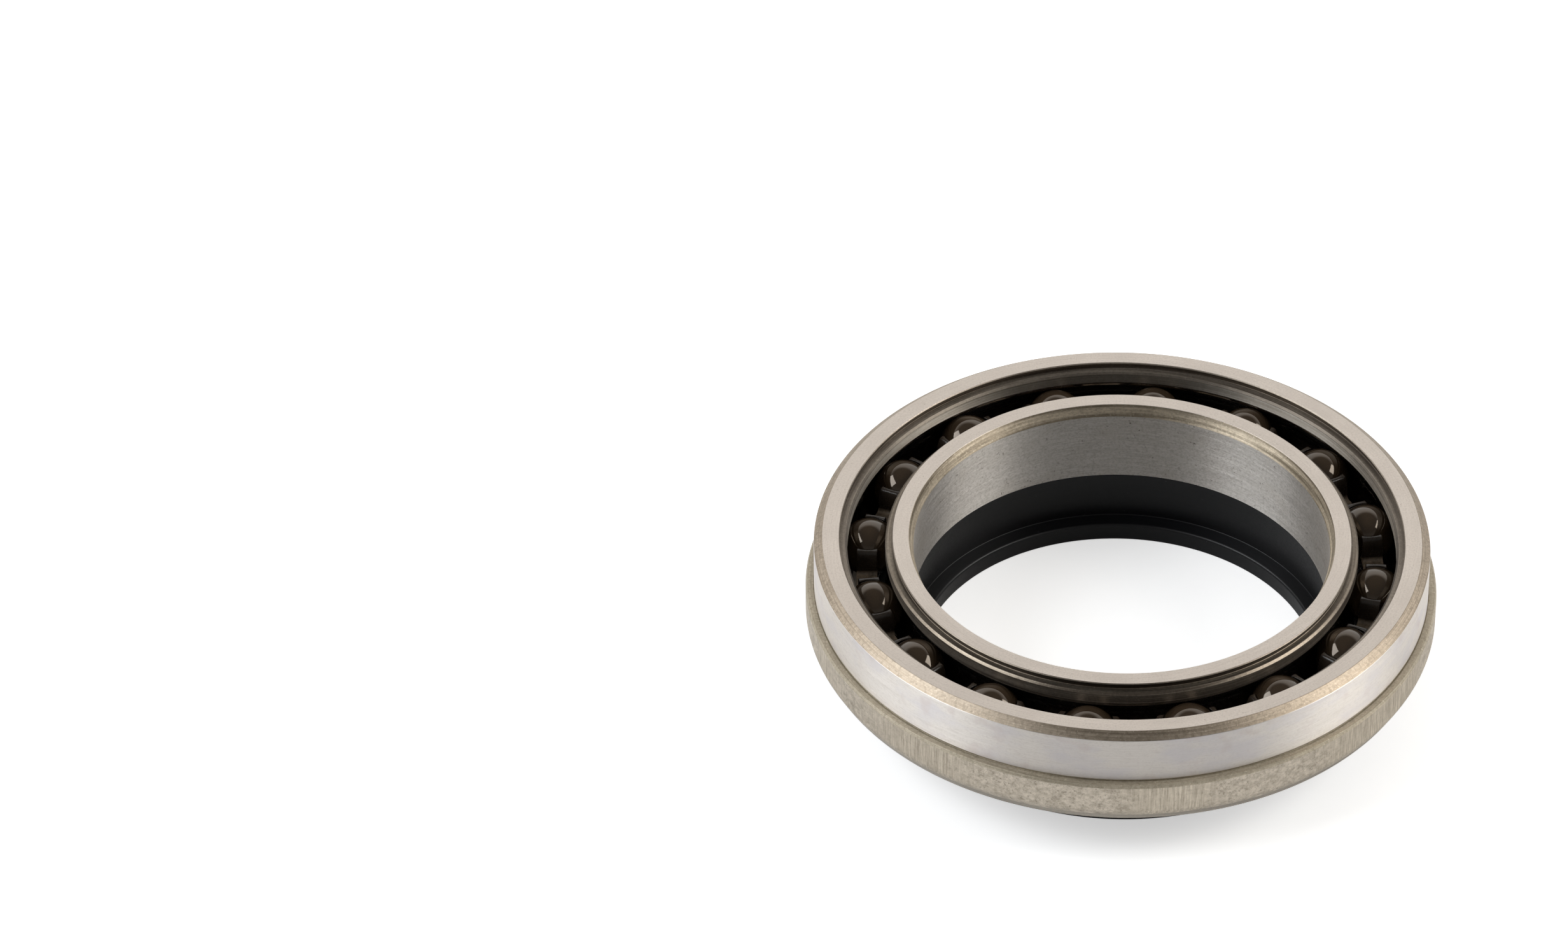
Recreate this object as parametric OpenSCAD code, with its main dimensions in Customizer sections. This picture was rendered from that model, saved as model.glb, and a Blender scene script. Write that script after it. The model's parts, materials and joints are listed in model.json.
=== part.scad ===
// Flanged angular contact ball bearing with a moulded spindle collar.
// The origin lies on the bearing axis in the plane of the ball centres,
// +Z points out of the open side, and all sizes are in millimetres.

/* [Rings] */
// Bore of the inner ring
bore_d = 25; // [24.8:0.1:25.2]
// Outside diameter of the outer ring, which sits in the cup
outer_d = 37; // [36.6:0.1:37.4]
// Width of both rings
ring_w = 6.3; // [6.1:0.1:6.6]
// Depth of the ball plane below the open face
ball_plane_depth = 2.75; // [2.6:0.05:3]
// Diameter of the outer ring's inner edge at its faces
outer_face_d = 34; // [33.8:0.1:34.2]
// Diameter of the inner ring's outer edge at its faces
inner_face_d = 27.5; // [27.3:0.1:27.7]
// Diameter of the outer ring's land beside the raceway
outer_land_d = 32.96; // [32.8:0.02:33.1]
// Diameter of the inner ring's land beside the raceway
inner_land_d = 28.4; // [28.3:0.02:28.5]

/* [Flange] */
// Diameter of the retaining flange
flange_d = 38; // [37.8:0.1:38.6]
// Depth of the flange shoulder below the open face
flange_depth = 3.45; // [3.3:0.05:3.6]

/* [Balls] */
// Number of balls
ball_count = 16; // [12:1:16]
// Ball diameter
ball_d = 3.5; // [3.4:0.02:3.54]
// Diameter of the circle of ball centres
pitch_d = 30.7; // [30.6:0.02:30.8]
// Contact angle, measured from the ball plane
contact_angle = 25; // [15:1:30]
// Raceway radius as a share of the ball diameter
conformity = 0.53; // [0.52:0.005:0.54]
// Gap between a ball and each raceway
race_gap = 0.04; // [0.03:0.01:0.06]
// Angle of the first ball about the axis
first_ball_angle = 12.8; // [0:0.1:22.5]

/* [Cage] */
// Inner diameter of the cage
cage_inner_d = 29.36; // [29.2:0.02:29.5]
// Outer diameter of the cage
cage_outer_d = 31.86; // [31.7:0.02:32]
// Height of the claw tips above the ball plane
claw_tip_z = 1.05; // [0.9:0.05:1.2]
// Depth of the valley floors below the ball plane
valley_depth = 0.4; // [0.3:0.05:0.6]
// Depth of the cage's base below the ball plane
cage_base_depth = 2.35; // [2.2:0.05:2.4]
// Gap between a ball and its pocket
pocket_gap = 0.1; // [0.06:0.01:0.12]
// Thickness of a claw beside the ball
claw_t = 0.23; // [0.18:0.01:0.28]

/* [Seal] */
// Thickness of the seal's steel washer
seal_core_t = 0.2; // [0.15:0.05:0.2]
// Full thickness of the seal
seal_t = 0.43; // [0.4:0.01:0.44]
// Gap between the seal lip and the inner ring
seal_lip_gap = 0.07; // [0.05:0.01:0.1]

/* [Collar] */
// Outside diameter of the collar
collar_d = 29; // [28.6:0.1:29.4]
// Bore of the collar's lip, which guides the spindle
collar_lip_d = 24; // [23.8:0.1:24.2]
// Height of the collar below the rings
collar_h = 3.7; // [3.4:0.1:4.2]
// Length of the spigot that is pressed into the inner ring
spigot_l = 1; // [0.8:0.1:1.1]
// Wall thickness of the spigot
spigot_t = 0.55; // [0.45:0.05:0.6]

/* [Hidden] */
$fn = 128;
eps = 0.01;

function two_digits(i) = str(i < 10 ? "0" : "", i);
function ball_name(i) = str("ball_", two_digits(i));

// Axial positions of the faces
open_z = ball_plane_depth;
closed_z = open_z - ring_w;
flange_z = open_z - flange_depth;
collar_end_z = closed_z - collar_h;

// Radii of the ring walls
bore_r = bore_d / 2;
outer_r = outer_d / 2;
flange_r = flange_d / 2;
outer_face_r = outer_face_d / 2;
inner_face_r = inner_face_d / 2;
outer_land_r = outer_land_d / 2;
inner_land_r = inner_land_d / 2;

// Chamfers, edge breaks, and the relief groove in the flange's corner
bore_chamfer_r = 0.3;
bore_chamfer_z = 0.7;
outer_chamfer_r = 0.5;
outer_chamfer_z = 0.4;
flange_top_chamfer_r = 0.1;
flange_top_chamfer_z = 0.18;
flange_bottom_chamfer_r = 0.5;
flange_bottom_chamfer_z = 0.9;
edge_break = 0.06;
relief_depth = 0.08;
relief_w = 0.12;
relief_drop = 0.04;

// Seal steps: an undercut below the face, a shelf, a sloped lip and a relieved land
step_undercut = 0.06;
step_shelf_depth = 0.42;
lip_slope_r = 0.14;
lip_slope_z = 0.12;
land_edge_z = open_z - 1.15;
land_relief_r = 0.12;
land_relief_z = 0.15;

// Seal groove on the closed side
seal_seat_z = closed_z + 0.8;
groove_lip_z = closed_z + 0.35;
groove_r = outer_face_r + 0.2;
seal_play = 0.03;
seal_lip_edge = 0.05;
seal_lip_land = 0.12;
seal_lip_taper = 0.4;
seal_lip_back = 0.3;
seal_bead_corner = 0.1;
core_outer_r = outer_face_r - 0.05;
core_inner_r = inner_land_r + 0.7;

// Balls and raceways. The two raceway centres are moved apart along the
// contact line, so that each ball bears high outside and low inside.
ball_r = ball_d / 2;
pitch_r = pitch_d / 2;
ball_step = 360 / ball_count;
race_r = conformity * ball_d;
race_shift = race_r - ball_r - race_gap;
outer_race = [pitch_r - race_shift * cos(contact_angle), -race_shift * sin(contact_angle)];
inner_race = [pitch_r + race_shift * cos(contact_angle), race_shift * sin(contact_angle)];

// Cage
cage_inner_r = cage_inner_d / 2;
cage_outer_r = cage_outer_d / 2;
pocket_r = ball_r + pocket_gap;
claw_r = pocket_r + claw_t;
half_step_w = pitch_r * sin(ball_step / 2);
mark_r = 0.3;
mark_depth = 0.08;
valley_overrun = 1;

// Collar
collar_r = collar_d / 2;
collar_lip_r = collar_lip_d / 2;
spigot_r = bore_r + spigot_t;
spigot_z = closed_z + spigot_l;
collar_flare_r = bore_r + 0.4;
collar_shelf_z = collar_end_z + 1.25;
collar_shelf_drop = 0.12;
collar_edge = 0.2;
collar_lip_round = 0.15;
arc_steps = 6;

// Points along an arc in the (radius, height) plane
function arc_points(center, radius, from, to) = [
    for (k = [0:arc_steps])
        let (a = from + (to - from) * k / arc_steps)
            center + radius * [cos(a), sin(a)]
];

// Outer ring with its flange, seal groove and raceway
module outer_ring() {
    profile = [
        [outer_face_r, open_z],
        [outer_r - outer_chamfer_r, open_z],
        [outer_r, open_z - outer_chamfer_z],
        [outer_r, flange_z + relief_w],
        [outer_r - relief_depth, flange_z - relief_drop],
        [outer_r + relief_drop, flange_z],
        [flange_r - flange_top_chamfer_r, flange_z],
        [flange_r, flange_z - flange_top_chamfer_z],
        [flange_r, closed_z + flange_bottom_chamfer_z],
        [flange_r - flange_bottom_chamfer_r, closed_z],
        [outer_face_r + edge_break, closed_z],
        [outer_face_r, closed_z + edge_break],
        [outer_face_r, groove_lip_z],
        [groove_r, groove_lip_z],
        [groove_r, seal_seat_z],
        [outer_land_r, seal_seat_z],
        [outer_land_r, 0],
        [outer_land_r + land_relief_r, 0],
        [outer_land_r + land_relief_r, land_edge_z - land_relief_z],
        [outer_land_r, land_edge_z],
        [outer_land_r, open_z - step_shelf_depth - lip_slope_z],
        [outer_land_r + lip_slope_r, open_z - step_shelf_depth],
        [outer_face_r + step_undercut, open_z - step_shelf_depth],
        [outer_face_r - edge_break, open_z - edge_break]
    ];
    color("lightgray")
        difference() {
            rotate_extrude() polygon(profile);
            raceway(outer_race);
        }
}

// Inner ring with its bore, collar counterbore and raceway
module inner_ring() {
    profile = [
        [bore_r + bore_chamfer_r, open_z],
        [inner_face_r, open_z],
        [inner_face_r + edge_break, open_z - edge_break],
        [inner_face_r - step_undercut, open_z - step_shelf_depth],
        [inner_land_r - lip_slope_r, open_z - step_shelf_depth],
        [inner_land_r, open_z - step_shelf_depth - lip_slope_z],
        [inner_land_r, land_edge_z],
        [inner_land_r - land_relief_r, land_edge_z - land_relief_z],
        [inner_land_r - land_relief_r, 0],
        [inner_land_r, 0],
        [inner_land_r, seal_seat_z - seal_t],
        [inner_face_r, closed_z],
        [spigot_r, closed_z],
        [spigot_r, spigot_z],
        [bore_r, spigot_z],
        [bore_r, open_z - bore_chamfer_z]
    ];
    color("gainsboro")
        difference() {
            rotate_extrude() polygon(profile);
            raceway(inner_race);
        }
}

// Torus that cuts one raceway
module raceway(center) {
    rotate_extrude() translate(center) circle(r = race_r, $fn = 64);
}

// One ball, at its place in the row
module ball(i) {
    color("dimgray")
        rotate([0, 0, first_ball_angle + (i - 1) * ball_step])
            translate([pitch_r, 0, 0])
                sphere(r = ball_r);
}

// Moulded crown cage, with a round pocket for each ball and a valley between claws
module cage() {
    color([0.12, 0.11, 0.1])
        difference() {
            rotate_extrude()
                translate([cage_inner_r, -cage_base_depth])
                    square([cage_outer_r - cage_inner_r, cage_base_depth + claw_tip_z]);
            around_row(0) translate([pitch_r, 0, 0]) sphere(r = pocket_r);
            around_row(ball_step / 2) cage_valley();
            around_row(ball_step / 2) mould_mark();
        }
}

// Children repeated once for each ball, turned by an offset from it
module around_row(offset_angle) {
    for (i = [1:ball_count])
        rotate([0, 0, first_ball_angle + offset_angle + (i - 1) * ball_step])
            children();
}

// Space between two neighbouring claws, whose outer sides are round about the balls
module cage_valley() {
    translate([cage_inner_r - valley_overrun, 0, 0])
        rotate([90, 0, 90])
            linear_extrude(height = cage_outer_r - cage_inner_r + 2 * valley_overrun)
                difference() {
                    translate([-half_step_w, -valley_depth])
                        square([2 * half_step_w, valley_depth + claw_tip_z + eps]);
                    for (side = [-1, 1])
                        translate([side * half_step_w, 0]) circle(r = claw_r);
                }
}

// Shallow round mark that the mould leaves in a valley floor
module mould_mark() {
    translate([(cage_inner_r + cage_outer_r) / 2, 0, -valley_depth - mark_depth])
        cylinder(r = mark_r, h = 2 * mark_depth, $fn = 32);
}

// Steel washer that stiffens the seal
module seal_core() {
    color("silver")
        rotate_extrude()
            translate([core_inner_r, seal_seat_z - seal_core_t])
                square([core_outer_r - core_inner_r, seal_core_t]);
}

// Rubber body of the seal, with its lip towards the inner ring
module seal_rubber() {
    lip_r = inner_land_r + seal_lip_gap;
    bead_r = groove_r - seal_play;
    core_z = seal_seat_z - seal_core_t;
    base_z = seal_seat_z - seal_t;
    profile = [
        [lip_r, seal_seat_z - seal_lip_edge],
        [lip_r, seal_seat_z - seal_lip_edge - seal_lip_land],
        [lip_r + seal_lip_taper, base_z],
        [outer_face_r - seal_play, base_z],
        [bead_r, base_z + seal_bead_corner],
        [bead_r, seal_seat_z - seal_play],
        [core_outer_r, seal_seat_z - seal_play],
        [core_outer_r, core_z],
        [core_inner_r, core_z],
        [core_inner_r, seal_seat_z],
        [lip_r + seal_lip_back, seal_seat_z]
    ];
    color([0.08, 0.08, 0.09]) rotate_extrude() polygon(profile);
}

// Moulded collar pressed under the inner ring, with a lip that guides the spindle
module spindle_collar() {
    lip_top = [collar_lip_r + collar_lip_round, collar_shelf_z - collar_shelf_drop - collar_lip_round];
    profile = concat(
        [
            [bore_r, spigot_z],
            [spigot_r, spigot_z],
            [spigot_r, closed_z],
            [collar_r - edge_break, closed_z],
            [collar_r, closed_z - edge_break]
        ],
        arc_points([collar_r - collar_edge, collar_end_z + collar_edge], collar_edge, 0, -90),
        [
            [collar_lip_r + edge_break, collar_end_z],
            [collar_lip_r, collar_end_z + edge_break]
        ],
        arc_points(lip_top, collar_lip_round, 180, 90),
        [[collar_flare_r, collar_shelf_z]]
    );
    color([0.06, 0.06, 0.07]) rotate_extrude() polygon(profile);
}

outer_ring();
inner_ring();
cage();
seal_core();
seal_rubber();
spindle_collar();
for (i = [1:ball_count])
    ball(i);
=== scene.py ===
import json
import math

import bmesh
import bpy
from mathutils import Matrix, Vector
from mathutils.geometry import delaunay_2d_cdt


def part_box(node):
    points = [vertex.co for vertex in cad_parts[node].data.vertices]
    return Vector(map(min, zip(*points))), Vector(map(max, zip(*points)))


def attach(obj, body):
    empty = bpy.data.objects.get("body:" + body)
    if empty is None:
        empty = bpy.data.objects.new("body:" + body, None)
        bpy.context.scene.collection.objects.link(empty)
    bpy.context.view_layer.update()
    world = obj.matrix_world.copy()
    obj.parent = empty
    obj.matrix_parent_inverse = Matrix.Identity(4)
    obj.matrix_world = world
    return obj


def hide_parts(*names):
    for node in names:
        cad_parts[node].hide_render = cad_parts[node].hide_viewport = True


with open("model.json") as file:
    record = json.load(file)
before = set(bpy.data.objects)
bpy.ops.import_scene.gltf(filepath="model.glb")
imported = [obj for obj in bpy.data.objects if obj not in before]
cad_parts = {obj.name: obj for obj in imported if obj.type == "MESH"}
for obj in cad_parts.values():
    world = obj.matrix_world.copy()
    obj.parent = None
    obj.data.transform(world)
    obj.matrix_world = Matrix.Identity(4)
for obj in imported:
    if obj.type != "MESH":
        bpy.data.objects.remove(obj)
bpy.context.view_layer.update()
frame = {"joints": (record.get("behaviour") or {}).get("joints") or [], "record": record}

# Looks of a flanged angular contact bearing. Meshes are drawn in millimetres,
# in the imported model's frame, and scaled to metres when they are made.

MM = 0.001
mounts = {m["name"]: m for m in frame["record"]["mounts"]}
ball_joints = {j["child"]: j for j in frame["joints"] if j["child"].startswith("ball_")}


def mount_radius(name):
    """Radius of a round mount, in millimetres."""
    return mounts[name]["dims"]["r_mm"]


def node_height(node, end):
    """Height of a node's lowest (end 0) or highest (end 1) point, in millimetres."""
    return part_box(node)[end].z / MM


# ---------------------------------------------------------------- dimensions

OPEN_Z = node_height("outer_ring", 1)
CLOSED_Z = node_height("outer_ring", 0)
END_Z = node_height("spindle_collar", 0)
FLANGE_Z = mounts["flange_shoulder"]["pos_m"][2] / MM
BORE_R = mount_radius("spindle_bore")
CUP_R = mount_radius("cup_seat")
LIP_R = mount_radius("collar_bore")
FLANGE_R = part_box("outer_ring")[1].x / MM
COLLAR_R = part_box("spindle_collar")[1].x / MM
CAGE_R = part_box("cage")[1].x / MM
CAGE_TOP = node_height("cage", 1)
CAGE_BASE = node_height("cage", 0)
BALL_R = (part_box("ball_01")[1].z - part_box("ball_01")[0].z) / 2 / MM
PITCH_R = Vector(ball_joints["ball_01"]["pos_m"]).length / MM

# The rings' walls, and the edge breaks of their faces
OUTER_FACE_R = 17.0
INNER_FACE_R = 13.75
OUTER_LAND_R = 16.48
INNER_LAND_R = 14.2
EDGE = 0.06

# The collar's spigot in the inner ring
SPIGOT_T = 0.55
SPIGOT_L = 1.0
SPIGOT_R = BORE_R + SPIGOT_T
SPIGOT_Z = CLOSED_Z + SPIGOT_L

# The flare of the collar's bore, and the shelf that it ends on
COLLAR_FLARE = 0.4
COLLAR_SHELF_Z = END_Z + 1.25
COLLAR_SHELF_DROP = 0.12

# The seal's place in the closed side
SEAL_SEAT_H = 0.8
SEAL_T = 0.43
SEAL_CORE_T = 0.2
SEAL_LIP_GAP = 0.07
SEAL_GROOVE_LIP = 0.35
SEAL_GROOVE_DEPTH = 0.2
SEAL_SEAT_Z = CLOSED_Z + SEAL_SEAT_H
SEAL_BASE_Z = SEAL_SEAT_Z - SEAL_T

# The raceways, whose centres are moved apart along the contact line
CONFORMITY = 0.53
RACE_GAP = 0.04
CONTACT = math.radians(25)
RACE_R = CONFORMITY * 2 * BALL_R
RACE_SHIFT = RACE_R - BALL_R - RACE_GAP
OUTER_RACE = (PITCH_R - RACE_SHIFT * math.cos(CONTACT), -RACE_SHIFT * math.sin(CONTACT))
INNER_RACE = (PITCH_R + RACE_SHIFT * math.cos(CONTACT), RACE_SHIFT * math.sin(CONTACT))

# The cage: pockets, claws, the valleys between them, and how far its corners are softened
POCKET_GAP = 0.1
CLAW_T = 0.23
POCKET_R = BALL_R + POCKET_GAP
CLAW_R = POCKET_R + CLAW_T
VALLEY_Z = -0.4
VALLEY_FILLET = 0.25
CAGE_INNER_R = 14.68
CAGE_EDGE = 0.05
TIP_SOFT = 0.12
MARK_R = 0.28
MARK_TUBE_R = 0.055
BALL_COUNT = len(ball_joints)
HALF_STEP = math.pi * PITCH_R / BALL_COUNT
CAGE_MID_R = (CAGE_INNER_R + CAGE_R) / 2
CAGE_HALF_T = (CAGE_R - CAGE_INNER_R) / 2

# ---------------------------------------------------------------- camera

# The open face's centre, as the camera sees it: right of, below and beyond the lens, in millimetres
VIEW_OFFSET = (20.273, 3.619, 458.206)
VIEW_ELEVATION = math.radians(38.61)
VIEW_ROLL = math.radians(-0.554)
LENS = 175.3


def make_camera():
    """The photo's camera, fitted to the edges of the rings."""
    e, roll = VIEW_ELEVATION, VIEW_ROLL
    level_right = Vector((1, 0, 0))
    level_down = Vector((0, -math.sin(e), -math.cos(e)))
    forward = Vector((0, math.cos(e), -math.sin(e)))
    right = level_right * math.cos(roll) - level_down * math.sin(roll)
    down = level_right * math.sin(roll) + level_down * math.cos(roll)
    x, y, z = VIEW_OFFSET
    place = Vector((0, 0, OPEN_Z)) - right * x - down * y - forward * z
    data = bpy.data.cameras.new("camera")
    data.lens = LENS
    data.sensor_width = 36.0
    data.sensor_fit = "HORIZONTAL"
    data.clip_start = 0.01
    data.clip_end = 10.0
    camera = bpy.data.objects.new("camera", data)
    turn = Matrix((right, -down, -forward)).transposed().to_4x4()
    camera.matrix_world = Matrix.Translation(place * MM) @ turn
    bpy.context.collection.objects.link(camera)
    bpy.context.scene.camera = camera


# ---------------------------------------------------------------- node helpers


class Graph:
    """A material or world node tree, with short calls for the nodes used here."""

    def __init__(self, tree):
        self.nodes = tree.nodes
        self.links = tree.links

    def node(self, kind, **settings):
        made = self.nodes.new(kind)
        for key, value in settings.items():
            setattr(made, key, value)
        return made

    def feed(self, socket, value):
        if isinstance(value, bpy.types.NodeSocket):
            self.links.new(value, socket)
        else:
            socket.default_value = value

    def math(self, operation, a, b=0.0):
        made = self.node("ShaderNodeMath", operation=operation)
        for socket, value in zip(made.inputs, (a, b)):
            self.feed(socket, value)
        return made.outputs[0]

    def vector(self, x, y, z):
        made = self.node("ShaderNodeCombineXYZ")
        for socket, value in zip(made.inputs, (x, y, z)):
            self.feed(socket, value)
        return made.outputs[0]

    def noise(self, vector, scale, detail=2.0, roughness=0.5):
        made = self.node("ShaderNodeTexNoise")
        self.feed(made.inputs["Vector"], vector)
        made.inputs["Scale"].default_value = scale
        made.inputs["Detail"].default_value = detail
        made.inputs["Roughness"].default_value = roughness
        return made.outputs["Fac"]

    def spread(self, value, low, high, to_low=0.0, to_high=1.0):
        """value's range low..high laid onto to_low..to_high, clamped."""
        made = self.node("ShaderNodeMapRange", clamp=True)
        for socket, number in zip(made.inputs, (value, low, high, to_low, to_high)):
            self.feed(socket, number)
        return made.outputs[0]

    def mix(self, factor, a, b):
        made = self.node("ShaderNodeMix", data_type="RGBA")
        self.feed(made.inputs["Factor"], factor)
        self.feed(made.inputs["A"], a)
        self.feed(made.inputs["B"], b)
        return made.outputs["Result"]

    def bump(self, height, distance):
        """distance is in millimetres."""
        made = self.node("ShaderNodeBump")
        made.inputs["Strength"].default_value = 1.0
        made.inputs["Distance"].default_value = distance * MM
        self.feed(made.inputs["Height"], height)
        return made.outputs["Normal"]


def colour(r, g, b):
    return (r, g, b, 1.0)


class Surface(Graph):
    """A Principled material, with the piece's own millimetre and polar coordinates ready."""

    def __init__(self, name):
        self.material = bpy.data.materials.new(name)
        self.material.use_nodes = True
        super().__init__(self.material.node_tree)
        self.shader = self.nodes["Principled BSDF"]
        split = self.node("ShaderNodeSeparateXYZ")
        self.links.new(self.node("ShaderNodeTexCoord").outputs["Object"], split.inputs[0])
        self.x, self.y, self.z = (self.math("DIVIDE", split.outputs[k], MM) for k in range(3))
        square_x, square_y = (self.math("MULTIPLY", v, v) for v in (self.x, self.y))
        self.radius = self.math("SQRT", self.math("ADD", square_x, square_y))

    def place(self, around, along_radius=0.0, along_z=0.0):
        """Coordinates with a pitch of their own round the axis, and across it along the radius and height."""
        outward = self.math("MULTIPLY", self.radius, along_radius)
        upward = self.math("MULTIPLY", self.z, along_z)
        x, y = (self.math("MULTIPLY", v, around) for v in (self.x, self.y))
        return self.vector(x, y, self.math("ADD", outward, upward))

    def spiral(self, turn, around, along):
        """Coordinates that run along a spiral: turn is in radians for each millimetre of radius."""
        wound = self.math("MULTIPLY", self.radius, turn)
        angle = self.math("ADD", self.math("ARCTAN2", self.y, self.x), wound)
        return self.vector(
            self.math("MULTIPLY", self.math("COSINE", angle), around),
            self.math("MULTIPLY", self.math("SINE", angle), around),
            self.math("MULTIPLY", self.radius, along),
        )

    def set(self, **sockets):
        for key, value in sockets.items():
            self.feed(self.shader.inputs[key.replace("_", " ")], value)
        return self.material


# ---------------------------------------------------------------- materials


def ground_face():
    """End faces: fine crossed grinding arcs on warm grey steel, with a slight mottle and a few nicks."""
    s = Surface("ground_face")
    one = s.noise(s.spiral(0.9, 260, 0.5), 1.0, detail=3)
    other = s.noise(s.spiral(-0.7, 230, 0.4), 1.0, detail=3)
    grain = s.noise(s.place(8, along_z=8), 1.0, detail=3, roughness=0.7)
    broad = s.noise(s.place(0.45), 1.0, detail=3)
    lines = s.math("ADD", one, other)
    nick = s.spread(s.noise(s.place(3.5), 1.0, detail=2), 0.72, 0.76)
    tint = s.mix(s.spread(lines, 0.75, 1.25), colour(0.44, 0.39, 0.345), colour(0.69, 0.625, 0.56))
    tint = s.mix(s.spread(grain, 0.4, 0.62, 0.0, 0.45), tint, colour(0.69, 0.625, 0.56))
    tint = s.mix(s.spread(grain, 0.45, 0.32, 0.0, 0.3), tint, colour(0.42, 0.37, 0.32))
    tint = s.mix(s.spread(broad, 0.35, 0.7, 0.0, 0.4), tint, colour(0.51, 0.455, 0.405))
    tint = s.mix(s.math("MULTIPLY", nick, 0.4), tint, colour(0.30, 0.255, 0.21))
    height = s.math("ADD", lines, s.math("SUBTRACT", grain, nick))
    return s.set(
        Base_Color=tint,
        Metallic=1.0,
        Roughness=s.spread(lines, 0.7, 1.3, 0.27, 0.38),
        Normal=s.bump(height, 0.0022),
    )


def ground_cylinder():
    """Cup seat: grinding lines round the axis on slightly cooler steel, with speckle and faint stains."""
    s = Surface("ground_cylinder")
    fine = s.noise(s.place(0.3, along_z=26), 1.0, detail=4, roughness=0.6)
    dashes = s.noise(s.place(1.2, along_z=9), 1.0, detail=4, roughness=0.6)
    speckle = s.noise(s.place(6, along_z=9), 1.0, detail=3, roughness=0.7)
    broad = s.noise(s.place(0.3, along_z=0.7), 1.0, detail=3)
    stain = s.noise(s.place(0.7, along_z=0.8), 1.0, detail=3)
    tint = s.mix(s.spread(fine, 0.3, 0.7), colour(0.67, 0.63, 0.585), colour(0.77, 0.73, 0.69))
    tint = s.mix(s.spread(dashes, 0.52, 0.7, 0.0, 0.4), tint, colour(0.56, 0.51, 0.47))
    tint = s.mix(s.spread(speckle, 0.5, 0.7, 0.0, 0.4), tint, colour(0.54, 0.495, 0.46))
    tint = s.mix(s.spread(broad, 0.45, 0.65, 0.0, 0.6), tint, colour(0.615, 0.59, 0.61))
    tint = s.mix(s.spread(stain, 0.58, 0.72, 0.0, 0.5), tint, colour(0.60, 0.53, 0.505))
    height = s.math("ADD", fine, s.math("ADD", dashes, speckle))
    return s.set(
        Base_Color=tint,
        Metallic=1.0,
        Roughness=s.spread(fine, 0.3, 0.7, 0.39, 0.47),
        Anisotropic=0.93,
        Anisotropic_Rotation=0.25,
        Normal=s.bump(height, 0.0012),
    )


def ground_bore():
    """Bore: ground round the axis, duller than the faces, grainy, with pits and short scratches."""
    s = Surface("ground_bore")
    fine = s.noise(s.place(0.25, along_z=18), 1.0, detail=4, roughness=0.65)
    dashes = s.noise(s.place(1.0, along_z=7), 1.0, detail=4)
    speckle = s.noise(s.place(6, along_z=8), 1.0, detail=4, roughness=0.7)
    broad = s.noise(s.place(0.4, along_z=0.5), 1.0, detail=3)
    pits = s.noise(s.place(3.6, along_z=3.6), 1.0, detail=4, roughness=0.65)
    pitted = s.math("MULTIPLY", s.spread(pits, 0.62, 0.68), s.spread(broad, 0.42, 0.6, 0.2, 1.0))
    tint = s.mix(s.spread(fine, 0.3, 0.7), colour(0.42, 0.395, 0.37), colour(0.60, 0.575, 0.54))
    tint = s.mix(s.spread(dashes, 0.5, 0.7, 0.0, 0.5), tint, colour(0.39, 0.365, 0.335))
    tint = s.mix(s.spread(speckle, 0.46, 0.64, 0.0, 0.7), tint, colour(0.34, 0.315, 0.285))
    tint = s.mix(s.spread(broad, 0.5, 0.7, 0.0, 0.35), tint, colour(0.43, 0.395, 0.35))
    tint = s.mix(s.math("MULTIPLY", pitted, 0.8), tint, colour(0.12, 0.105, 0.09))
    height = s.math("ADD", s.math("ADD", fine, speckle), s.math("SUBTRACT", dashes, pitted))
    return s.set(
        Base_Color=tint,
        Metallic=1.0,
        Roughness=s.spread(fine, 0.3, 0.7, 0.41, 0.49),
        Anisotropic=0.94,
        Anisotropic_Rotation=0.25,
        Normal=s.bump(height, 0.0014),
    )


def turned_steel(name, dark, light, pitch, rough, depth=0.002, metallic=1.0, anisotropic=0.5, mottled=0.4):
    """A turned surface with fine grooves round the axis, in two tones of oxide, and a mottle across them;
    some finishes pass far darker tones that paint in shade.
    """
    s = Surface(name)
    groove = s.noise(s.place(0.1, along_radius=-pitch, along_z=pitch), 1.0, detail=3, roughness=0.6)
    broad = s.noise(s.place(0.5, along_z=0.8), 1.0, detail=3)
    mottle = s.noise(s.place(5, along_radius=4, along_z=7), 1.0, detail=4, roughness=0.7)
    fleck = s.spread(s.noise(s.place(8, along_z=8), 1.0, detail=2), 0.62, 0.7, 0.0, 0.7 * mottled)
    tint = s.mix(s.spread(groove, 0.36, 0.64), colour(*dark), colour(*light))
    tint = s.mix(s.spread(broad, 0.45, 0.75, 0.0, 0.3), tint, colour(*(0.8 * v for v in dark)))
    tint = s.mix(s.spread(mottle, 0.45, 0.65, 0.0, mottled), tint, colour(*(0.7 * v for v in dark)))
    tint = s.mix(fleck, tint, colour(*(min(0.9, 1.4 * v) for v in light)))
    return s.set(
        Base_Color=tint,
        Metallic=metallic,
        Roughness=s.spread(groove, 0.3, 0.7, rough - 0.05, rough + 0.08),
        Anisotropic=anisotropic,
        Anisotropic_Rotation=0.25,
        Normal=s.bump(s.math("ADD", groove, s.math("MULTIPLY", mottle, 2 * mottled)), depth),
    )


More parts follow.
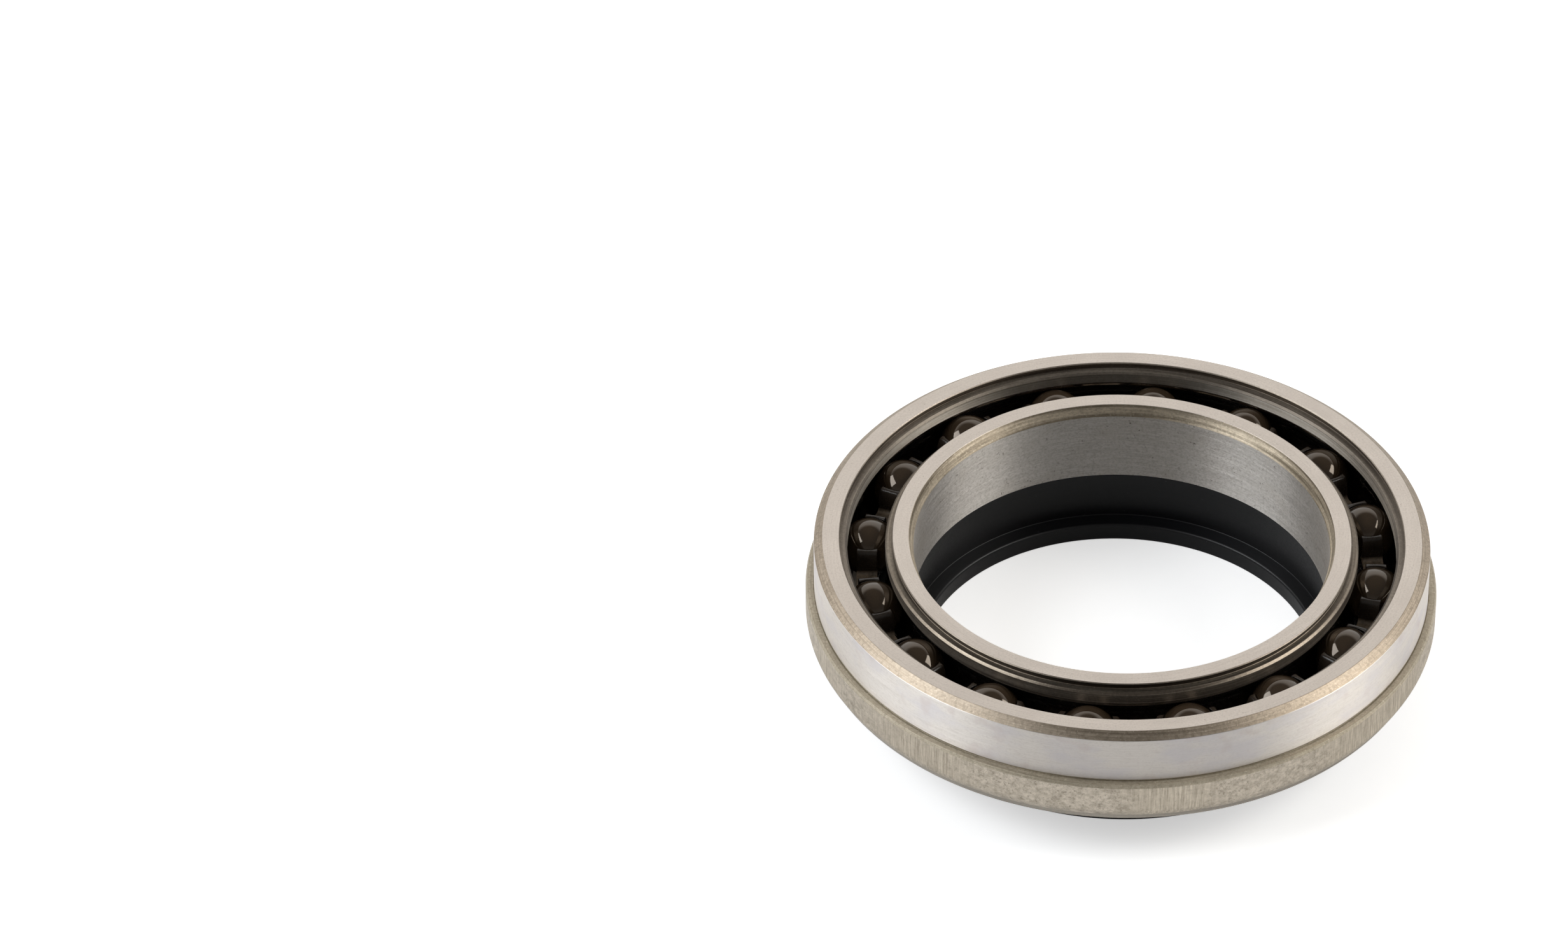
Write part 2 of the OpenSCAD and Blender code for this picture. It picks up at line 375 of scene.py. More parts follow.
def flange_steel():
    """Flange side: matte oxide, streaked along the axis in places and mottled with pits in others."""
    s = Surface("flange_steel")
    streak = s.noise(s.place(9, along_z=0.5), 1.0, detail=3, roughness=0.7)
    where = s.noise(s.place(0.1, along_z=0.02), 1.0, detail=1)
    mottle = s.noise(s.place(2.2, along_z=2.8), 1.0, detail=6, roughness=0.78)
    pit = s.spread(s.noise(s.place(5, along_z=6), 1.0, detail=4, roughness=0.7), 0.56, 0.66)
    streaked = s.spread(where, 0.42, 0.54)
    rough = s.math("SUBTRACT", 1.0, s.math("MULTIPLY", streaked, 0.65))
    line = s.spread(streak, 0.36, 0.64)
    plain = s.mix(s.spread(mottle, 0.35, 0.62), colour(0.34, 0.295, 0.235), colour(0.64, 0.575, 0.485))
    lined = s.mix(line, colour(0.34, 0.29, 0.225), colour(0.68, 0.61, 0.50))
    tint = s.mix(s.math("MULTIPLY", streaked, 0.7), plain, lined)
    tint = s.mix(s.math("MULTIPLY", pit, s.math("MULTIPLY", rough, 0.6)), tint, colour(0.22, 0.185, 0.14))
    relief = s.math("SUBTRACT", s.math("ADD", s.math("MULTIPLY", streak, streaked), mottle), pit)
    return s.set(
        Base_Color=tint,
        Metallic=0.75,
        Roughness=s.spread(mottle, 0.3, 0.7, 0.42, 0.56),
        Normal=s.bump(relief, 0.008),
    )


def raceway_steel():
    """Raceways: lapped, nearly mirror bright, with faint lines round the axis."""
    s = Surface("raceway_steel")
    fine = s.noise(s.place(0.1, along_z=26), 1.0, detail=3)
    return s.set(
        Base_Color=s.mix(fine, colour(0.5, 0.47, 0.43), colour(0.58, 0.54, 0.5)),
        Metallic=1.0,
        Roughness=s.spread(fine, 0.3, 0.7, 0.1, 0.2),
        Normal=s.bump(fine, 0.0004),
    )


def ball_ceramic():
    """Polished dark nitride, brown-black with a faint mottle."""
    s = Surface("ball_ceramic")
    mottle = s.noise(s.place(1.1, along_z=1.1), 1.0, detail=4)
    fine = s.noise(s.place(9, along_z=9), 1.0, detail=3)
    return s.set(
        Base_Color=s.mix(mottle, colour(0.014, 0.009, 0.005), colour(0.034, 0.022, 0.013)),
        Roughness=s.spread(fine, 0.3, 0.7, 0.04, 0.1),
        IOR=1.6,
        Specular_Tint=colour(1.0, 0.87, 0.74),
    )


def cage_plastic():
    """Glossy moulded cage plastic, with painted light on the valley floors: a lighter brown patch for light
    that falls into them.
    """
    s = Surface("cage_plastic")
    skin = s.noise(s.place(3, along_z=3), 1.0, detail=4)
    flow = s.noise(s.place(0.8, along_z=2.5), 1.0, detail=3)
    valley_light_breakup = s.noise(s.place(2.2, along_z=1.5), 1.0, detail=4, roughness=0.6)
    # Painted light: a lighter brown band at the height of the valley floors, broken up by noise, stands for
    # light that falls into the valleys.
    above_foot = s.spread(s.z, VALLEY_Z - 0.3, VALLEY_Z - 0.05)
    above_floor = s.spread(s.z, VALLEY_Z + 0.02, VALLEY_Z + 0.25)
    low = s.math("SUBTRACT", above_foot, above_floor)
    painted_valley_light = s.math("MULTIPLY", low, s.spread(valley_light_breakup, 0.3, 0.6, 0.35, 1.0))
    tint = s.mix(flow, colour(0.014, 0.010, 0.007), colour(0.032, 0.023, 0.016))
    return s.set(
        Base_Color=s.mix(painted_valley_light, tint, colour(0.36, 0.285, 0.21)),
        Roughness=s.spread(skin, 0.3, 0.7, 0.18, 0.32),
        IOR=1.4,
        Normal=s.bump(skin, 0.012),
    )


def collar_plastic():
    """Satin black moulded collar with faint mould lines round the axis."""
    s = Surface("collar_plastic")
    skin = s.noise(s.place(7, along_z=7), 1.0, detail=4, roughness=0.6)
    lines = s.noise(s.place(0.15, along_radius=5, along_z=9), 1.0, detail=3)
    dust = s.spread(s.noise(s.place(5.5, along_z=5.5), 1.0, detail=2), 0.74, 0.8)
    tint = s.mix(lines, colour(0.003, 0.003, 0.0035), colour(0.006, 0.006, 0.007))
    return s.set(
        Base_Color=s.mix(s.math("MULTIPLY", dust, 0.3), tint, colour(0.12, 0.12, 0.13)),
        Roughness=s.spread(skin, 0.3, 0.7, 0.3, 0.42),
        IOR=1.35,
        Normal=s.bump(s.math("ADD", skin, lines), 0.0015),
    )


def seal_rubber():
    """Moulded nitrile seal."""
    s = Surface("seal_rubber")
    skin = s.noise(s.place(5, along_z=5), 1.0, detail=5, roughness=0.65)
    return s.set(
        Base_Color=s.mix(skin, colour(0.012, 0.012, 0.013), colour(0.025, 0.025, 0.027)),
        Roughness=s.spread(skin, 0.3, 0.7, 0.5, 0.68),
        Normal=s.bump(skin, 0.004),
    )


FINISHES = {
    "face": ground_face(),
    "cup": ground_cylinder(),
    "bore": ground_bore(),
    "chamfer": turned_steel(
        "chamfer_steel", (0.25, 0.205, 0.155), (0.40, 0.34, 0.27), 9, 0.45, 0.004, 1.0, 0.3, 0.6
    ),
    "bore_chamfer": turned_steel(
        "bore_chamfer_steel", (0.20, 0.165, 0.12), (0.68, 0.59, 0.46), 8, 0.46, 0.012, 1.0, 0.9
    ),
    "ledge": turned_steel(
        "ledge_steel", (0.32, 0.28, 0.21), (0.46, 0.405, 0.315), 7, 0.48, 0.004, 0.6, 0.3, 0.6
    ),
    # Painted shade: the wall, recess and slope finishes make their turned steel several times darker than on
    # the chamfers, for the shade inside the gap between the rings.
    "wall": turned_steel("shaded_wall_steel", (0.055, 0.044, 0.033), (0.14, 0.115, 0.09), 7, 0.38, 0.006, 0.8),
    "recess": turned_steel("shaded_recess_steel", (0.025, 0.02, 0.015), (0.06, 0.048, 0.036), 8, 0.38, 0.004, 0.9),
    "slope": turned_steel("shaded_slope_steel", (0.075, 0.062, 0.05), (0.15, 0.13, 0.105), 8, 0.38, 0.004, 0.8),
    "step": turned_steel("step_steel", (0.15, 0.125, 0.10), (0.29, 0.25, 0.205), 7, 0.38, 0.005, 0.8),
    "shelf": turned_steel("shelf_steel", (0.14, 0.115, 0.09), (0.29, 0.25, 0.20), 7, 0.38, 0.005, 1.0),
    "land": turned_steel(
        "land_steel", (0.27, 0.24, 0.20), (0.41, 0.375, 0.33), 12, 0.49, 0.0015, 1.0, 0.96, 0.3
    ),
    "bevel": turned_steel(
        "bevel_steel", (0.33, 0.295, 0.25), (0.45, 0.41, 0.35), 5, 0.52, 0.003, 0.7, 0.2, 0.35
    ),
    "back": turned_steel("back_steel", (0.33, 0.30, 0.265), (0.43, 0.40, 0.355), 7, 0.36, 0.002),
    "flange": flange_steel(),
    "race": raceway_steel(),
    "ball": ball_ceramic(),
    "cage": cage_plastic(),
    "collar": collar_plastic(),
    "rubber": seal_rubber(),
}

# ---------------------------------------------------------------- mesh helpers


def corner(r, z, radius, finish):
    """A profile corner: its place, its rounding, and the finish of the stretch that follows it."""
    return {"at": Vector((r, z)), "radius": radius, "finish": finish}


def arc(center, radius, start, end, steps, finish):
    """Profile points along an arc, with angles in degrees."""
    points = []
    for k in range(steps + 1):
        a = math.radians(start + (end - start) * k / steps)
        points.append(corner(center[0] + radius * math.cos(a), center[1] + radius * math.sin(a), 0.0, finish))
    return points


def rounded(corners, steps=5, guard=0.015):
    """Profile points with corners turned into arcs, and guard points beside them that keep flats flat."""
    points = []
    count = len(corners)
    for k, c in enumerate(corners):
        here = c["at"]
        before = corners[k - 1]
        if c["radius"] <= 0:
            points.append((here, c["finish"]))
            continue
        back = (before["at"] - here).normalized()
        ahead = (corners[(k + 1) % count]["at"] - here).normalized()
        half = math.acos(max(-1.0, min(1.0, back.dot(ahead)))) / 2
        reach = c["radius"] / math.tan(half)
        center = here + (back + ahead).normalized() * (c["radius"] / math.sin(half))
        first, last = here + back * reach, here + ahead * reach
        points.append((first + back * guard, before["finish"]))
        a0 = math.atan2(*(first - center).yx)
        a1 = math.atan2(*(last - center).yx)
        sweep = (a1 - a0 + math.pi) % (2 * math.pi) - math.pi
        for j in range(steps + 1):
            a = a0 + sweep * j / steps
            at = center + Vector((math.cos(a), math.sin(a))) * c["radius"]
            points.append((at, c["finish"]))
        points.append((last + ahead * guard, c["finish"]))
    return points


def make_piece(name, vertices, faces, finishes, face_finish=None):
    """A smooth-shaded mesh object from millimetre vertices, facing outwards."""
    mesh = bpy.data.meshes.new(name)
    mesh.from_pydata([(x * MM, y * MM, z * MM) for x, y, z in vertices], [], faces)
    for finish in finishes:
        mesh.materials.append(FINISHES[finish])
    if face_finish is not None:
        mesh.polygons.foreach_set("material_index", [finishes.index(f) for f in face_finish])
    work = bmesh.new()
    work.from_mesh(mesh)
    bmesh.ops.recalc_face_normals(work, faces=work.faces)
    work.to_mesh(mesh)
    work.free()
    mesh.polygons.foreach_set("use_smooth", [True] * len(mesh.polygons))
    piece = bpy.data.objects.new(name, mesh)
    bpy.context.collection.objects.link(piece)
    return piece


def lathe(name, corners, turns=384):
    """A closed profile turned round the axis."""
    points = rounded(corners)
    count = len(points)
    vertices = []
    for k in range(turns):
        a = 2 * math.pi * k / turns
        vertices += [(p.x * math.cos(a), p.x * math.sin(a), p.y) for p, _ in points]
    faces, face_finish = [], []
    for k in range(turns):
        here, there = k * count, (k + 1) % turns * count
        for j in range(count):
            n = (j + 1) % count
            faces.append((here + j, here + n, there + n, there + j))
            face_finish.append(points[j][1])
    finishes = sorted(set(face_finish))
    return make_piece(name, vertices, faces, finishes, face_finish)


# ---------------------------------------------------------------- rings

# Chamfers, edge breaks and bevel, as a width along the radius and a height
CUP_CHAMFER_R = 0.5
CUP_CHAMFER_Z = 0.4
BORE_CHAMFER_R = 0.3
BORE_CHAMFER_Z = 0.7
FLANGE_EDGE_R = 0.1
FLANGE_EDGE_Z = 0.18
BEVEL_R = 0.5
BEVEL_Z = 0.9

# The point on the bevel where its own finish starts
BEVEL_MID_R = 0.2
BEVEL_MID_Z = 0.54

# Steps, slopes, undercuts and reliefs of the two rings
STEP_Z = OPEN_Z - 0.42
SLOPE_R = 0.14
SLOPE_Z = 0.12
LAND_END_Z = OPEN_Z - 1.15
LAND_RELIEF_R = 0.12
LAND_RELIEF_Z = 0.15
UNDERCUT = 0.06
RELIEF_W = 0.12
RELIEF_DEPTH = 0.08
RELIEF_DROP = 0.04
RACE_STEPS = 28

# How far a piece stops short of the one that it touches, or of its CAD node's box
INSET = 0.005


def race_angles(center, low_r, high_r):
    """Angles at which a raceway arc meets the wall below it and the wall above it."""
    low = math.degrees(math.acos((low_r - center[0]) / RACE_R))
    high = math.degrees(math.acos((high_r - center[0]) / RACE_R))
    return low, high


def outer_ring():
    """Outer ring: open face, cup seat, flange, back, seal groove, raceway, land and step."""
    low, high = race_angles(OUTER_RACE, OUTER_LAND_R, OUTER_LAND_R + LAND_RELIEF_R)
    return lathe(
        "outer_ring_steel",
        [
            corner(OUTER_FACE_R, OPEN_Z, 0.02, "face"),
            corner(CUP_R - CUP_CHAMFER_R, OPEN_Z, 0.04, "chamfer"),
            corner(CUP_R, OPEN_Z - CUP_CHAMFER_Z, 0.05, "cup"),
            corner(CUP_R, FLANGE_Z + RELIEF_W, 0.03, "ledge"),
            corner(CUP_R - RELIEF_DEPTH, FLANGE_Z - RELIEF_DROP, 0.02, "ledge"),
            corner(CUP_R + RELIEF_DROP, FLANGE_Z, 0.02, "ledge"),
            corner(FLANGE_R - FLANGE_EDGE_R, FLANGE_Z, 0.03, "ledge"),
            corner(FLANGE_R, FLANGE_Z - FLANGE_EDGE_Z, 0.06, "flange"),
            corner(FLANGE_R, CLOSED_Z + BEVEL_Z, 0.8, "flange"),
            corner(FLANGE_R - BEVEL_MID_R, CLOSED_Z + BEVEL_MID_Z, 0.0, "bevel"),
            corner(FLANGE_R - BEVEL_R, CLOSED_Z, 0.12, "back"),
            corner(OUTER_FACE_R + EDGE, CLOSED_Z, 0.02, "step"),
            corner(OUTER_FACE_R, CLOSED_Z + EDGE, 0.02, "step"),
            corner(OUTER_FACE_R, CLOSED_Z + SEAL_GROOVE_LIP, 0.02, "step"),
            corner(OUTER_FACE_R + SEAL_GROOVE_DEPTH, CLOSED_Z + SEAL_GROOVE_LIP, 0.03, "step"),
            corner(OUTER_FACE_R + SEAL_GROOVE_DEPTH, SEAL_SEAT_Z, 0.03, "step"),
            corner(OUTER_LAND_R, SEAL_SEAT_Z, 0.04, "step"),
            *arc(OUTER_RACE, RACE_R, -low, high, RACE_STEPS, "race"),
            corner(OUTER_LAND_R + LAND_RELIEF_R, LAND_END_Z - LAND_RELIEF_Z, 0.03, "step"),
            corner(OUTER_LAND_R, LAND_END_Z, 0.05, "land"),
            corner(OUTER_LAND_R, STEP_Z - SLOPE_Z, 0.04, "slope"),
            corner(OUTER_LAND_R + SLOPE_R, STEP_Z, 0.04, "step"),
            corner(OUTER_FACE_R + UNDERCUT, STEP_Z, 0.04, "wall"),
            corner(OUTER_FACE_R - EDGE, OPEN_Z - EDGE, 0.025, "step"),
        ],
    )


def inner_ring():
    """Inner ring: open face, step, shelf, land, raceway, back, collar's seat and bore."""
    low, high = race_angles(INNER_RACE, INNER_LAND_R, INNER_LAND_R - LAND_RELIEF_R)
    return lathe(
        "inner_ring_steel",
        [
            corner(BORE_R + BORE_CHAMFER_R, OPEN_Z, 0.02, "face"),
            corner(INNER_FACE_R, OPEN_Z, 0.02, "step"),
            corner(INNER_FACE_R + EDGE, OPEN_Z - EDGE, 0.025, "recess"),
            corner(INNER_FACE_R - UNDERCUT, STEP_Z, 0.04, "shelf"),
            corner(INNER_LAND_R - SLOPE_R, STEP_Z, 0.04, "shelf"),
            corner(INNER_LAND_R, STEP_Z - SLOPE_Z, 0.04, "step"),
            corner(INNER_LAND_R, LAND_END_Z, 0.05, "step"),
            corner(INNER_LAND_R - LAND_RELIEF_R, LAND_END_Z - LAND_RELIEF_Z, 0.03, "step"),
            *arc(INNER_RACE, RACE_R, high, 360 - low, RACE_STEPS, "race"),
            corner(INNER_LAND_R, SEAL_BASE_Z, 0.06, "step"),
            corner(INNER_FACE_R, CLOSED_Z, 0.03, "back"),
            corner(SPIGOT_R, CLOSED_Z, 0.0, "back"),
            corner(SPIGOT_R, SPIGOT_Z, 0.0, "back"),
            corner(BORE_R, SPIGOT_Z, 0.03, "bore"),
            corner(BORE_R, OPEN_Z - BORE_CHAMFER_Z, 0.1, "bore_chamfer"),
        ],
    )


def spindle_collar():
    """Moulded collar: spigot in the inner ring, outside, end, lip, and a bore that flares down to a shelf."""
    return lathe(
        "collar_body",
        [
            corner(BORE_R + 2 * INSET, SPIGOT_Z - 2 * INSET, 0.03, "collar"),
            corner(SPIGOT_R - INSET, SPIGOT_Z - 2 * INSET, 0.03, "collar"),
            corner(SPIGOT_R - INSET, CLOSED_Z - INSET, 0.0, "collar"),
            corner(COLLAR_R, CLOSED_Z - INSET, 0.08, "collar"),
            corner(COLLAR_R, END_Z, 0.2, "collar"),
            corner(LIP_R, END_Z, 0.08, "collar"),
            corner(LIP_R, COLLAR_SHELF_Z - COLLAR_SHELF_DROP, 0.16, "collar"),
            corner(BORE_R + COLLAR_FLARE, COLLAR_SHELF_Z, 0.05, "collar"),
        ],
    )


def seal_body():
    """The seal's rubber: lip, shallow dip across its outside, bead in the groove and the washer's seat."""
    lip_r = INNER_LAND_R + SEAL_LIP_GAP
    core_r = (INNER_LAND_R + 0.7, OUTER_FACE_R - 0.05)
    core_z = SEAL_SEAT_Z - SEAL_CORE_T
    return lathe(
        "seal_body",
        [
            corner(lip_r, SEAL_SEAT_Z - 0.05, 0.03, "rubber"),
            corner(lip_r, SEAL_SEAT_Z - 0.17, 0.04, "rubber"),
            corner(lip_r + 0.4, SEAL_BASE_Z, 0.1, "rubber"),
            corner(lip_r + 0.9, SEAL_BASE_Z, 0.04, "rubber"),
            corner(lip_r + 1.0, SEAL_BASE_Z + 0.06, 0.04, "rubber"),
            corner(lip_r + 2.1, SEAL_BASE_Z + 0.06, 0.04, "rubber"),
            corner(lip_r + 2.2, SEAL_BASE_Z, 0.04, "rubber"),
            corner(OUTER_FACE_R - 0.03, SEAL_BASE_Z, 0.04, "rubber"),
            corner(OUTER_FACE_R + 0.17, SEAL_BASE_Z + 0.1, 0.03, "rubber"),
            corner(OUTER_FACE_R + 0.17, SEAL_SEAT_Z - 0.03, 0.03, "rubber"),
            corner(core_r[1], SEAL_SEAT_Z - 0.03, 0.0, "rubber"),
            corner(core_r[1], core_z, 0.0, "rubber"),
            corner(core_r[0], core_z, 0.0, "rubber"),
            corner(core_r[0], SEAL_SEAT_Z, 0.02, "rubber"),
            corner(lip_r + 0.3, SEAL_SEAT_Z, 0.04, "rubber"),
        ],
    )


def seal_washer():
    """The seal's steel washer, just inside the CAD node's box."""
    low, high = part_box("seal_core")
    inner_r, outer_r = INNER_LAND_R + 0.71, high.x / MM - INSET
    return lathe(
        "seal_washer",
        [
            corner(inner_r, low.z / MM + INSET, 0.02, "back"),
            corner(outer_r, low.z / MM + INSET, 0.02, "back"),
            corner(outer_r, high.z / MM - INSET, 0.02, "back"),
            corner(inner_r, high.z / MM - INSET, 0.02, "back"),
        ],
        turns=256,
    )


# ---------------------------------------------------------------- balls


def ball(node):
    """A polished ball at its place in the row."""
    work = bmesh.new()
    bmesh.ops.create_uvsphere(work, u_segments=96, v_segments=48, radius=BALL_R)
    center = Vector(ball_joints[node]["pos_m"]) / MM
    vertices = [v.co + center for v in work.verts]
    faces = [[v.index for v in f.verts] for f in work.faces]
    work.free()
    return make_piece(node + "_ceramic", vertices, faces, ["ball"])


# ---------------------------------------------------------------- cage

EDGE_STEPS = 4
FLAT_STEPS = 8
BASE_STEPS = 24
SIDE_STEPS = 6

# Grid of points inside a cage side, which keeps its triangles even
GRID = 0.2
GRID_ROWS = 12
GRID_HALF_COLUMNS = 14
GRID_MARGIN = 0.12


def circle_run(radius, start, end, steps, center=(0.0, 0.0)):
    """Points along a circle, with angles in radians."""
    run = []
    for k in range(steps + 1):
        a = start + (end - start) * k / steps
        run.append(Vector((center[0] + radius * math.cos(a), center[1] + radius * math.sin(a))))
    return run


def softened(before, tip, after, steps=5):
    """A short curve that rounds the corner at tip."""
    return [
        before * (1 - t) ** 2 + tip * 2 * t * (1 - t) + after * t**2
        for t in (k / steps for k in range(1, steps))
    ]


def claw_outline(pocket_r):
    """The cage's upper outline from a valley's middle to the pocket's lowest point."""
    top = math.asin(CAGE_TOP / CLAW_R)
    inside = math.asin(CAGE_TOP / pocket_r)
    soft_top = math.asin((CAGE_TOP - TIP_SOFT) / CLAW_R)
    soft_inside = math.asin((CAGE_TOP - TIP_SOFT) / pocket_r)
    foot = math.asin((VALLEY_Z + VALLEY_FILLET) / CLAW_R)
    outer_tip = Vector((-CLAW_R * math.cos(top), CAGE_TOP))
    inner_tip = Vector((-pocket_r * math.cos(inside), CAGE_TOP))
    flat = (inner_tip - outer_tip).normalized() * min(TIP_SOFT, (inner_tip - outer_tip).length * 0.4)
    floor_end = -CLAW_R - VALLEY_FILLET
    points = [Vector((-HALF_STEP + (HALF_STEP + floor_end) * k / 4, VALLEY_Z)) for k in range(4)]
    points += circle_run(VALLEY_FILLET, -math.pi / 2, 0, 6, (floor_end, VALLEY_Z + VALLEY_FILLET))
    outer = circle_run(CLAW_R, math.pi - foot, math.pi - soft_top, 12)[1:]
    points += outer
    points += softened(outer[-1], outer_tip, outer_tip + flat)
    points += [outer_tip + flat, inner_tip - flat]
    pocket = circle_run(pocket_r, math.pi - soft_inside, 3 * math.pi / 2, 30)
    points += softened(inner_tip - flat, inner_tip, pocket[0])
    return points + pocket


def top_outline(pocket_r):
    """The upper outline of one pocket, from valley to valley."""
    half = claw_outline(pocket_r)
    return half + [Vector((-p.x, p.y)) for p in reversed(half[:-1])]


def shrunk(points, amount):
    """The outline moved into the material, which lies on the right of its direction of travel."""
    moved = []
    last = len(points) - 1
    for k, p in enumerate(points):
        ahead = points[min(k + 1, last)] - points[max(k - 1, 0)]
        if k in (0, last):
            ahead = Vector((1, 0))
        ahead.normalize()
        moved.append(p + Vector((ahead.y, -ahead.x)) * amount)
    return moved


def cage_layers():
    """Offsets from the cage's middle radius, each with how far the outline is shrunk there."""
    angles = [math.pi / 2 * k / EDGE_STEPS for k in range(EDGE_STEPS + 1)]
    edge = [(-CAGE_HALF_T + CAGE_EDGE * (1 - math.cos(a)), CAGE_EDGE * (1 - math.sin(a))) for a in angles]
    flat = CAGE_HALF_T - CAGE_EDGE
    middle = [(-flat + 2 * flat * k / FLAT_STEPS, 0.0) for k in range(1, FLAT_STEPS)]
    return edge + middle + [(-u, d) for u, d in reversed(edge)]


def cage_point(s, z, u, turn):
    """A point of the unrolled cage, laid round the axis."""
    a = turn + s / PITCH_R
    r = CAGE_MID_R + u
    return (r * math.cos(a), r * math.sin(a), z)


def layer_pocket_r(u):
    """The round pocket's radius as far from its middle as u."""
    across = CAGE_MID_R + u - PITCH_R
    return math.sqrt(POCKET_R**2 - across**2)


def cap_faces(top, base):
    """Triangles that fill the side of one cage sector between its upper and lower outlines."""
    side = [top[-1].lerp(base[-1], k / SIDE_STEPS) for k in range(1, SIDE_STEPS)]
    other = [Vector((-p.x, p.y)) for p in reversed(side)]
    loop = top + side + list(reversed(base)) + other
    count = len(loop)
    edges = [(k, (k + 1) % count) for k in range(count)]
    inside = []
    pocket_r = layer_pocket_r(CAGE_HALF_T) + CAGE_EDGE
    for row in range(1, GRID_ROWS):
        z = CAGE_BASE + CAGE_EDGE + row * GRID
        for column in range(-GRID_HALF_COLUMNS, GRID_HALF_COLUMNS + 1):
            s = column * GRID
            below_valley = z < VALLEY_Z - CAGE_EDGE - GRID_MARGIN
            if below_valley and Vector((s, z)).length > pocket_r + GRID_MARGIN:
                inside.append(Vector((s, z)))
    points, _, triangles, *_ = delaunay_2d_cdt(loop + inside, edges, [], 1, 1e-6)
    return points, triangles


def cage():
    """Crown cage: one pocket's outline, laid in layers across the cage and repeated round it."""
    vertices, faces = [], []
    layers = cage_layers()
    first = Vector(ball_joints["ball_01"]["pos_m"])
    for index in range(BALL_COUNT):
        turn = math.atan2(first.y, first.x) + 2 * math.pi * index / BALL_COUNT
        rows = []
        for u, shrink in layers:
            top = shrunk(top_outline(layer_pocket_r(u)), shrink)
            base = [Vector((-HALF_STEP + 2 * HALF_STEP * k / BASE_STEPS, CAGE_BASE + shrink))
                    for k in range(BASE_STEPS + 1)]
            rows.append((u, top, base))
        for which in (1, 2):
            start = len(vertices)
            length = len(rows[0][which])
            for row in rows:
                vertices += [cage_point(p.x, p.y, row[0], turn) for p in row[which]]
            for j in range(len(rows) - 1):
                for k in range(length - 1):
                    a = start + j * length + k
                    faces.append((a, a + 1, a + 1 + length, a + length))
        for row in (rows[0], rows[-1]):
            start = len(vertices)
            points, triangles = cap_faces(row[1], row[2])
            vertices += [cage_point(p.x, p.y, row[0], turn) for p in points]
            faces += [tuple(start + v for v in triangle) for triangle in triangles]
        mark_vertices, mark_faces = mould_mark(turn + math.pi / BALL_COUNT, len(vertices))
        vertices += mark_vertices
        faces += mark_faces
    piece = make_piece("cage_crown", vertices, faces, ["cage"])
    work = bmesh.new()
    work.from_mesh(piece.data)
    bmesh.ops.remove_doubles(work, verts=work.verts, dist=0.001 * MM)
    bmesh.ops.recalc_face_normals(work, faces=work.faces)
    work.to_mesh(piece.data)
    work.free()
    return piece


def mould_mark(turn, start):
    """The raised ring that the mould leaves on a valley floor."""
    around, tube = 32, 10
    vertices, faces = [], []
    for k in range(around):
        a = 2 * math.pi * k / around
        for j in range(tube):
            b = 2 * math.pi * j / tube
            reach = MARK_R + MARK_TUBE_R * math.cos(b)
            height = VALLEY_Z + MARK_TUBE_R * math.sin(b)
            vertices.append(cage_point(reach * math.cos(a), height, reach * math.sin(a), turn))
            faces.append(
                (
                    start + k * tube + j,
                    start + k * tube + (j + 1) % tube,
                    start + (k + 1) % around * tube + (j + 1) % tube,
                    start + (k + 1) % around * tube + j,
                )
            )
    return vertices, faces


# ---------------------------------------------------------------- stage


# Half the floor's width, in metres
FLOOR_HALF = 1.5


def make_floor():
    """A pale floor under the collar, white to the camera, which lights the bearing like grey paper."""
    s = Surface("floor_paper")
    grain = s.noise(s.place(0.8, along_z=0.8), 1.0, detail=3)
    seen = s.node("ShaderNodeLightPath").outputs["Is Camera Ray"]
    s.set(
        Base_Color=s.mix(grain, colour(0.79, 0.79, 0.79), colour(0.82, 0.82, 0.82)),
        Roughness=0.8,
        Specular_IOR_Level=0.1,
        Emission_Color=colour(1, 1, 1),
        Emission_Strength=s.math("MULTIPLY", seen, 0.5),
    )
    half, z = FLOOR_HALF, END_Z * MM
    mesh = bpy.data.meshes.new("floor")
    corners = [(-half, -half, z), (half, -half, z), (half, half, z), (-half, half, z)]
    mesh.from_pydata(corners, [], [(0, 1, 2, 3)])
    mesh.materials.append(s.material)
    floor = bpy.data.objects.new("floor", mesh)
    bpy.context.collection.objects.link(floor)


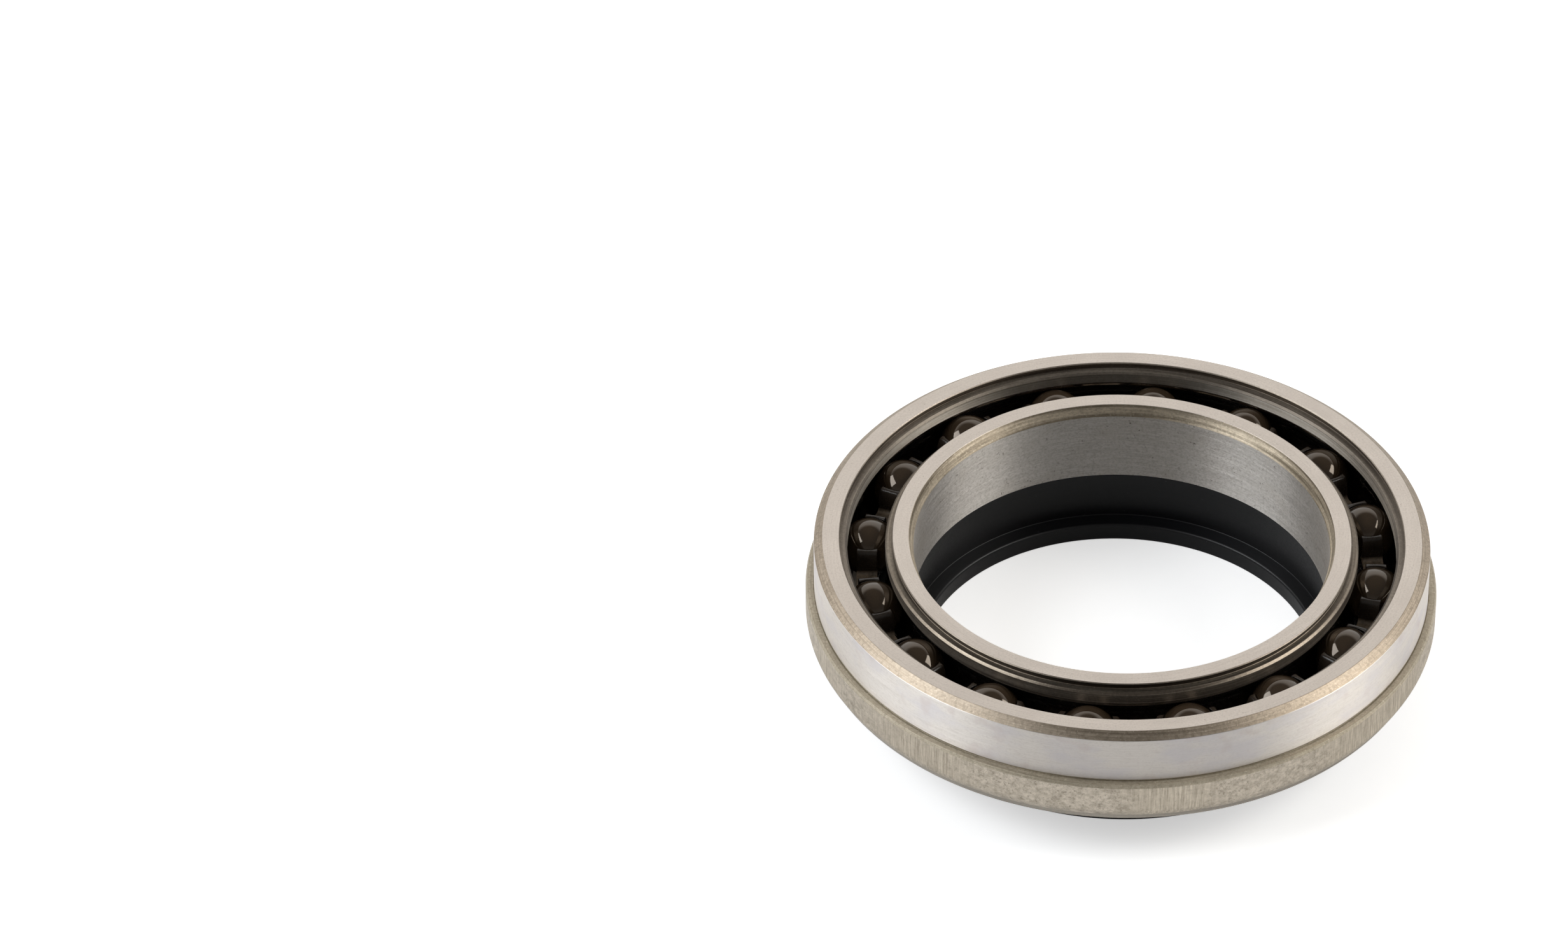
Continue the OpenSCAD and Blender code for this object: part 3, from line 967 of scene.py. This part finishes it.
def soft_light(name, azimuth, elevation, distance, size, radiance, tint):
    """A tall soft light that faces the bearing, with angles in degrees and size in metres."""
    a, e = math.radians(azimuth), math.radians(elevation)
    place = Vector((math.cos(e) * math.cos(a), math.cos(e) * math.sin(a), math.sin(e))) * distance
    data = bpy.data.lights.new(name, "AREA")
    data.shape = "RECTANGLE"
    data.size, data.size_y = size
    data.energy = radiance * math.pi * size[0] * size[1]
    data.color = tint
    light = bpy.data.objects.new(name, data)
    light.location = place
    light.rotation_euler = (-place).to_track_quat("-Z", "Y").to_euler()
    bpy.context.collection.objects.link(light)


def make_world():
    """A white backdrop behind the bearing, dim overhead and dim on the camera's side."""
    world = bpy.data.worlds.new("studio")
    world.use_nodes = True
    g = Graph(world.node_tree)
    split = g.node("ShaderNodeSeparateXYZ")
    g.links.new(g.node("ShaderNodeTexCoord").outputs["Generated"], split.inputs[0])
    low = g.spread(split.outputs[2], 0.65, 0.8, 1.0, 0.0)
    behind = g.spread(split.outputs[1], -0.25, 0.45, 0.0, 1.0)
    level = g.spread(g.math("MULTIPLY", low, behind), 0.0, 1.0, 0.17, 1.28)
    below_lights = g.spread(split.outputs[2], 0.5, 0.7, 1.0, 0.0)
    in_front = g.math("MULTIPLY", below_lights, g.math("SUBTRACT", 1.0, behind))
    front = g.spread(in_front, 0.0, 1.0, 0.0, 0.12)
    background = g.nodes["Background"]
    background.inputs["Color"].default_value = colour(1.0, 0.985, 0.965)
    g.links.new(g.math("ADD", level, front), background.inputs["Strength"])
    bpy.context.scene.world = world


def make_stage():
    make_floor()
    make_world()
    soft_light("left_softbox", 189, 41, 0.8, (0.58, 0.42), 6.0, (0.97, 1.0, 1.03))
    soft_light("right_softbox", -6, 37, 0.8, (0.46, 0.42), 6.4, (1.0, 0.98, 0.94))
    scene = bpy.context.scene
    scene.view_settings.view_transform = "Standard"
    scene.view_settings.look = "None"
    scene.cycles.caustics_reflective = True
    scene.cycles.max_bounces = 10
    scene.cycles.glossy_bounces = 8


# ---------------------------------------------------------------- assembly


def fit(piece, body, node):
    """The piece stands for a CAD node, whose own mesh is hidden, and moves with its body."""
    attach(piece, body)
    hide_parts(node)


make_camera()
make_stage()
fit(outer_ring(), "outer", "outer_ring")
fit(seal_washer(), "outer", "seal_core")
fit(seal_body(), "outer", "seal_rubber")
fit(inner_ring(), "inner", "inner_ring")
fit(spindle_collar(), "inner", "spindle_collar")
fit(cage(), "cage", "cage")
for node in sorted(ball_joints):
    fit(ball(node), node, node)
